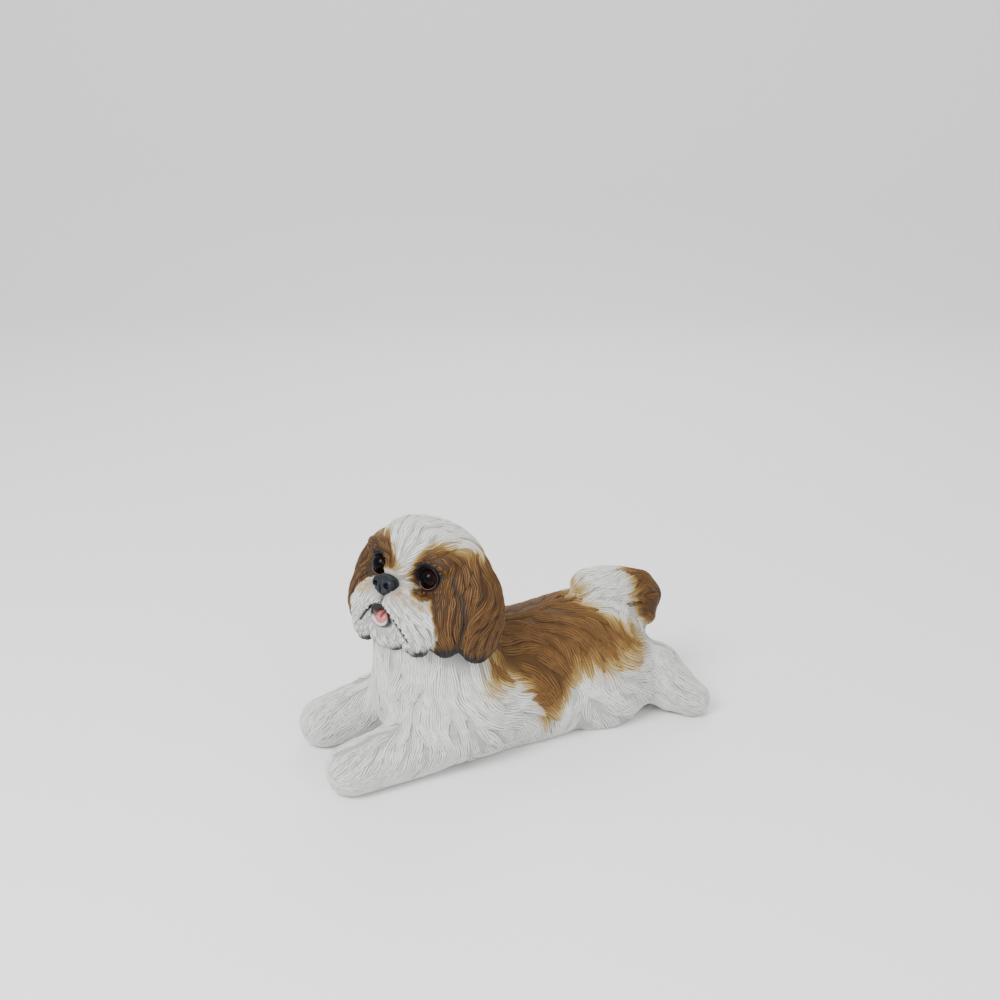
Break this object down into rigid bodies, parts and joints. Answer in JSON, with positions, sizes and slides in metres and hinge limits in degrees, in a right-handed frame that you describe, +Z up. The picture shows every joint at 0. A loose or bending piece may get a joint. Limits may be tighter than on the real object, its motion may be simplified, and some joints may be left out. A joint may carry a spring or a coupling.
{
  "type": "painted resin shih tzu puppy statue",
  "caption": "Cast-resin statue of a shih tzu puppy lying outstretched, head up and turned to its left, mouth open, tail curled over the back, white coat with brown face, ears and saddle.",
  "frame": {"origin": "centre of the bounding box at the ground, under the belly", "axes": "-Y the way the body points, paws first; +Y to the hind feet and the tail's bend; +X the dog's left side; +Z up"},
  "size_m": [0.1882, 0.413, 0.2416],
  "materials": {
    "coat_head": "cast resin, sculpted hair relief, chestnut-brown paint with dark wash and gold dry-brushing",
    "coat_ear": "cast resin, sculpted hair relief, chestnut-brown paint with dark wash and gold dry-brushing",
    "coat_muzzle": "cast resin, sculpted hair relief, off-white paint with a grey-brown wash in the grooves",
    "coat_neck": "cast resin, sculpted hair relief, off-white paint with a grey-brown wash in the grooves",
    "coat_torso": "cast resin, sculpted hair relief, off-white paint with a grey-brown wash in the grooves",
    "coat_tail": "cast resin, sculpted hair relief, off-white paint with a grey-brown wash in the grooves",
    "coat_leg": "cast resin, sculpted hair relief, off-white paint with a grey-brown wash in the grooves",
    "eye_glass": "domed glass-look eye, very dark brown with a black pupil, high gloss",
    "nose_paint": "slate-black satin paint",
    "tongue_paint": "pink satin paint"
  },
  "bodies": {
    "root": {"torso": "coat_torso", "neck": "coat_neck", "head": "coat_head", "muzzle": "coat_muzzle", "ear_left": "coat_ear", "ear_right": "coat_ear", "eye_left": "eye_glass", "eye_right": "eye_glass", "nose": "nose_paint", "tongue": "tongue_paint", "tail": "coat_tail", "foreleg_left": "coat_leg", "foreleg_right": "coat_leg", "hindleg_left": "coat_leg", "hindleg_right": "coat_leg"}
  },
  "joints": []
}
